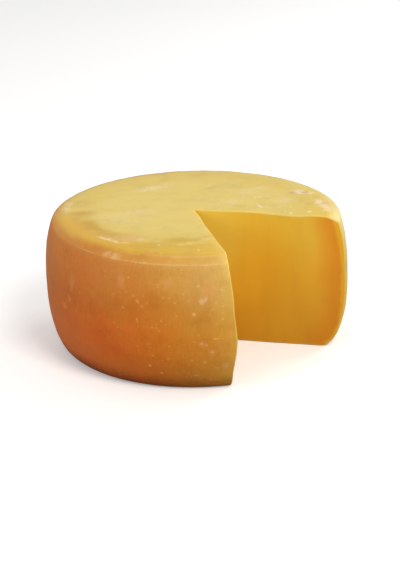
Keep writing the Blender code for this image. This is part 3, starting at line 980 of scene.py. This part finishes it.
def makeRind():
    material, tree, place, z = startCheese("waxy_rind")
    slow, patchy, small = [drift(tree, place, *noiseKind) for noiseKind in rind["noises"]]
    fromRim = named(tree, "fromRim")
    level = vectorMaths(tree, "MULTIPLY", place, (1, 1, 0))
    outwards = vectorMaths(tree, "NORMALIZE", level)
    strengths = rind["strengths"]

    def pushed(value, name):
        parts = zip((slow, patchy, small), rind["pushes"][name])
        return addNoise(tree, value, *[part for part in parts if part[1]])

    def span(value, name):
        return remap(tree, value, *rind["spans"][name])

    def facing(direction):
        return vectorMaths(tree, "DOT_PRODUCT", outwards, direction)

    # how far round towards the palest side: 0 opposite to it, 1 on it. The tones read from it are partly
    # painted light on the lit side and painted shade on the other
    towards = facing(tuple(heading(rind["paleTowards"])))
    towards = pushed(maths(tree, "MULTIPLY_ADD", towards, 0.5, 0.5), "towards")

    def around(name):
        return ramp(tree, towards, tuple(zip(rind["roundStops"], rind[name])))

    height = pushed(z, "height")
    color = blend(tree, span(height, "high"), around("low"), around("high"))
    waist = times(tree, span(height, "waistUp"), span(height, "waistDown"))
    color = blend(tree, waist, color, rind["waist"], "MULTIPLY")
    # painted shade: the side darkens towards the foot, where the contact shade falls
    foot = times(tree, span(pushed(z, "foot"), "foot"), strengths["foot"])
    color = blend(tree, foot, color, ramp(tree, towards, rind["foot"]), "MULTIPLY")

    # shoulder, golden ring and pale middle of the top run into each other
    rimPlace = pushed(fromRim, "rim")
    color = blend(tree, span(rimPlace, "shoulder"), color, around("shoulder"))
    ringPlace = maths(tree, "ADD", rimPlace, span(towards, "ringRound"))
    color = blend(tree, span(pushed(ringPlace, "ring"), "ring"), color, around("ring"))
    behind = times(tree, span(facing((0, 1, 0)), "behindRound"), span(rimPlace, "behindIn"))
    color = blend(tree, behind, color, rind["behind"])
    fromPale = pushed(vectorMaths(tree, "DISTANCE", place, rind["paleMiddle"]), "pale")
    pale = times(tree, span(fromPale, "paleEdge"), span(fromRim, "paleIn"))
    color = blend(tree, pale, color, rind["paleEdge"])
    color = blend(tree, span(fromPale, "pale"), color, rind["pale"])

    # mottling all over, faint upright streaks on the side, brushing on the top
    grain = useGroup(tree, grainGroup, {"Vector": place})
    shade = ramp(tree, grain["Mottle"], rind["mottle"])
    color = blend(tree, strengths["mottle"], color, shade, "MULTIPLY")
    for name in ("streaks", "brushing"):
        noiseKind, stops = rind[name]
        shade = ramp(tree, cloud(tree, place, *noiseKind), stops)
        color = blend(tree, span(fromRim, name), color, shade, "MULTIPLY")

    # the base is plainer, between the side and the top in tone
    under = times(tree, span(vectorMaths(tree, "LENGTH", level), "base"), span(z, "baseUp"))
    color = blend(tree, under, color, rind["base"])

    color = addMarks(tree, color, place)

    # broad scuffs on the right and the back, palest where the rind is
    where = span(facing(rind["scuffsTowards"]), "scuffsRound")
    where = times(tree, where, span(fromRim, "scuffsDown"))
    scuffed = times(tree, span(cloud(tree, place, *rind["scuffNoise"]), "scuffs"), where)
    scuffed = times(tree, scuffed, strengths["scuffs"])
    color = blend(tree, scuffed, color, ramp(tree, towards, rind["scuffs"]))
    yellower = times(tree, span(slow, "yellower"), span(towards, "yellowerRound"))
    color = blend(tree, yellower, color, rind["yellower"], "MULTIPLY")

    # flecks lie along the side, flatter than wide
    flatter = vectorMaths(tree, "MULTIPLY", place, rind["fleckStretch"])
    specks = useGroup(tree, flecks, {"Vector": flatter, **rind["specks"]})["Mask"]
    dust = useGroup(tree, flecks, {"Vector": flatter, **rind["dust"]})["Mask"]
    fleckTone = ramp(tree, towards, rind["flecks"])
    seen = span(towards, "flecksRound")
    for spots, name in ((specks, "specks"), (dust, "dust")):
        color = blend(tree, times(tree, spots, times(tree, seen, strengths[name])), color, fleckTone)

    # the mould line, broken in places, and the second one inside it
    wandering = maths(tree, "ABSOLUTE", pushed(fromRim, "line"))
    broken = span(pushed(patchy, "lineBreaks"), "lineBreaks")
    shown = times(tree, broken, span(towards, "lineRound"))
    color = blend(tree, times(tree, span(wandering, "line"), shown), color, rind["line"])
    ahead = span(facing(rind["secondLineTowards"]), "secondLineRound")
    wandering = maths(tree, "SUBTRACT", pushed(fromRim, "secondLine"), rind["secondLineInside"])
    line = span(maths(tree, "ABSOLUTE", wandering), "secondLine")
    line = times(tree, line, times(tree, broken, strengths["secondLine"]))
    color = blend(tree, times(tree, line, ahead), color, rind["line"])

    # beside the near cut the rind is yellower towards the top, a painted highlight along the lit cut, and
    # where the knife took its edge away the paste's tone shows, brightened into a painted highlight on
    # the rounding, faint on the far cut
    for name, tone in (("beside", rind["beside"]), ("edge", paste["edge"])):
        near = span(pushed(named(tree, "pasteDepth"), name), name)
        near = times(tree, near, span(towards, name + "Round"))
        near = times(tree, near, span(z, name + "Up"))
        color = blend(tree, near, color, tone)

    bumpHeight = addNoise(tree, grain["Height"], (specks, strengths["speckRelief"]))
    finishCheese(tree, rind, color, grain["Mottle"], bumpHeight)
    return material


paste = {
    "edge": (0.97, 0.72, 0.15, 1),      # where it shows through at the rind's cut edge, brightened as a painted highlight on the lit rounding
    "skin": (0.88, 0.47, 0.020, 1),     # bright strip right inside the rind
    "band": (0.82, 0.29, 0.014, 1),     # deeper orange behind it
    "foot": (0.80, 0.37, 0.018, 1),
    "middle": (0.90, 0.485, 0.030, 1),
    "high": (0.835, 0.52, 0.048, 1),
    "core": (0.86, 0.61, 0.082, 1),     # palest round the axis
    "grain": {"Stretch": (1, 1, 0.4), "Coarse": 110.0, "Fine": 700.0},
    "slow": (18, 3),            # noises: scale and detail
    "wander": (70, 3),
    "drag": (40, 4, 0.6, (1.3, 1.3, 0.45)),     # where the knife dragged
    "dragTones": ((0.35, (0.93, 0.89, 0.78)), (0.50, (1.0, 1.0, 1.0)), (0.68, (1.03, 1.05, 1.10))),
    "dragStrength": 0.4,
    "roughFrom": (0.3, 0.7),
    "roughness": (0.34, 0.46),
    "bump": 0.00016,
    "specular": 0.32,
    "scatter": 0.15,
    "scatterTone": (1.0, 0.5, 0.2),
    "scatterReach": 0.004,
    # from where to where each tone comes in, by height, then by depth inside the side and the rind
    "spans": {
        "middle": (0.0, 0.085), "high": (0.075, 0.150), "coreUp": (0.03, 0.13),
        "core": (0.09, 0.15), "band": (0.036, 0.007, 0.0, 0.85), "skin": (0.0065, 0.0030),
        "edge": (0.0018, 0.0002, 0.0, 0.5),
    },
    # how far noise moves those heights and depths
    "heightSlow": 0.05,
    "sideSlow": 0.012,
    "sideWander": 0.004,
    "rindWander": 0.002,
}


def makePaste():
    material, tree, place, z = startCheese("cheese_paste")
    grain = useGroup(tree, grainGroup, {"Vector": place, **paste["grain"]})
    slow, wander = drift(tree, place, *paste["slow"]), drift(tree, place, *paste["wander"])
    fromSide = addNoise(tree, named(tree, "sideDepth"), (wander, paste["sideWander"]))
    fromSide = addNoise(tree, fromSide, (slow, paste["sideSlow"]))
    fromRind = addNoise(tree, named(tree, "pasteDepth"), (wander, paste["rindWander"]))
    height = addNoise(tree, z, (slow, paste["heightSlow"]))

    def span(value, name):
        return remap(tree, value, *paste["spans"][name])

    color = blend(tree, span(height, "middle"), paste["foot"], paste["middle"])
    color = blend(tree, span(height, "high"), color, paste["high"])
    core = times(tree, span(fromSide, "core"), span(height, "coreUp"))
    color = blend(tree, core, color, paste["core"])
    color = blend(tree, span(fromSide, "band"), color, paste["band"])
    color = blend(tree, span(fromSide, "skin"), color, paste["skin"])
    # a thin bright strip of that tone right at the rind: partly the paste's own edge, partly a painted
    # highlight on the rounded cut edge
    color = blend(tree, span(fromRind, "edge"), color, paste["edge"])

    shade = ramp(tree, cloud(tree, place, *paste["drag"]), paste["dragTones"])
    color = blend(tree, paste["dragStrength"], color, shade, "MULTIPLY")
    finishCheese(tree, paste, color, grain["Mottle"], grain["Height"])
    return material


flecks, smudge, grainGroup = fleckGroup(), smudgeGroup(), cheeseGrain()
rindMaterial, pasteMaterial = makeRind(), makePaste()
print("rind and paste mixed")

wheelPiece = turnWheel()
print("wheel turned:", len(wheelPiece.data.vertices), "points")
raiseLines(wheelPiece)
swellRind(wheelPiece)
roundCutEdges(wheelPiece)
print("mould line raised, rind made uneven, cut edges rounded")
joinCuts(wheelPiece)
print("cuts closed:", len(wheelPiece.data.polygons), "faces")
markPlaces(wheelPiece)
shapeWheel(wheelPiece)
fitBox(wheelPiece)
bpy.ops.object.select_all(action="DESELECT")
wheelPiece.select_set(True)
bpy.context.view_layer.objects.active = wheelPiece
bpy.ops.object.shade_smooth_by_angle(angle=math.radians(wheel["smoothAngle"]))
print("wheel settled")
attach(wheelPiece, "root")
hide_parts("cheese_wheel")

view = {
    "distance": 1.92,
    "elevation": 19.65,
    "roll": -1.36,
    "lens": 113.64,
    "sensorWidth": 36,
    "targetLeft": 3.14,         # where the wheel's middle stands from the picture's middle, in pixels
    "targetUp": 9.03,
    "focalPixels": 1799.3,      # the lens in pixels, with the picture 570 high
}


def placeCamera():
    rise = math.radians(view["elevation"])
    target = Vector((0, 0, wheel["height"] / 2))
    stand = target + Vector((0, -math.cos(rise), math.sin(rise))) * view["distance"]
    aim = (target - stand).to_track_quat("-Z", "Y").to_matrix()
    aim = aim @ Matrix.Rotation(math.radians(view["roll"]), 3, "Z")
    aim = aim @ Matrix.Rotation(-math.atan(view["targetUp"] / view["focalPixels"]), 3, "X")
    aim = aim @ Matrix.Rotation(-math.atan(view["targetLeft"] / view["focalPixels"]), 3, "Y")
    bpy.ops.object.camera_add(location=stand, rotation=aim.to_euler())
    camera = bpy.context.object
    camera.data.lens = view["lens"]
    camera.data.sensor_width = view["sensorWidth"]
    bpy.context.scene.camera = camera


placeCamera()

studio = {
    "floorSize": 12,
    "floorDrop": 0.0002,        # the floor lies this far under the wheel
    "floorRoughness": 0.9,
    "floorSeen": (0.97, 0.97, 0.965, 1),
    "floorBounce": (0.32, 0.31, 0.29, 1),   # what the floor throws back at the wheel
    "floorGlow": (0.2, 0.2, 0.2, 1),
    # place, size, power and tone of each light, and the height on the axis that all are aimed at
    "lights": {
        "key_light": ((0.9, -1.7, 1.95), 1.0, 34, (1, 0.97, 0.92)),
        "fill_light": ((-1.8, -1.2, 1.0), 1.2, 12, (1, 0.99, 0.97)),
        "back_light": ((1.7, 1.3, 1.0), 1.2, 20, (1, 0.99, 0.96)),
    },
    "aimHeight": 0.07,
    "sky": 0.5,
}


def softLight(name, place, size, power, color):
    bpy.ops.object.light_add(type="AREA", location=place)
    light = bpy.context.object
    light.name = name
    light.data.energy = power
    light.data.size = size
    light.data.color = color
    aim = Vector((0, 0, studio["aimHeight"])) - Vector(place)
    light.rotation_euler = aim.to_track_quat("-Z", "Y").to_euler()


def setStudio():
    bpy.ops.mesh.primitive_plane_add(size=studio["floorSize"], location=(0, 0, -studio["floorDrop"]))
    floor = bpy.context.object
    floor.name = "floor"
    floorMaterial = bpy.data.materials.new("pale_floor")
    floorMaterial.use_nodes = True
    tree = floorMaterial.node_tree
    shader = tree.nodes["Principled BSDF"]
    shader.inputs["Roughness"].default_value = studio["floorRoughness"]
    seen = tree.nodes.new("ShaderNodeLightPath").outputs["Is Camera Ray"]
    wire(tree, blend(tree, seen, studio["floorBounce"], studio["floorSeen"]), shader.inputs["Base Color"])
    wire(tree, blend(tree, seen, (0, 0, 0, 1), studio["floorGlow"]), shader.inputs["Emission Color"])
    shader.inputs["Emission Strength"].default_value = 1
    floor.data.materials.append(floorMaterial)
    for name, light in studio["lights"].items():
        softLight(name, *light)
    world = bpy.data.worlds.new("studio")
    world.use_nodes = True
    sky = world.node_tree.nodes["Background"].inputs
    sky["Color"].default_value = (1, 1, 1, 1)
    sky["Strength"].default_value = studio["sky"]
    bpy.context.scene.world = world
    bpy.context.scene.view_settings.view_transform = "Standard"


setStudio()
print("studio lit")
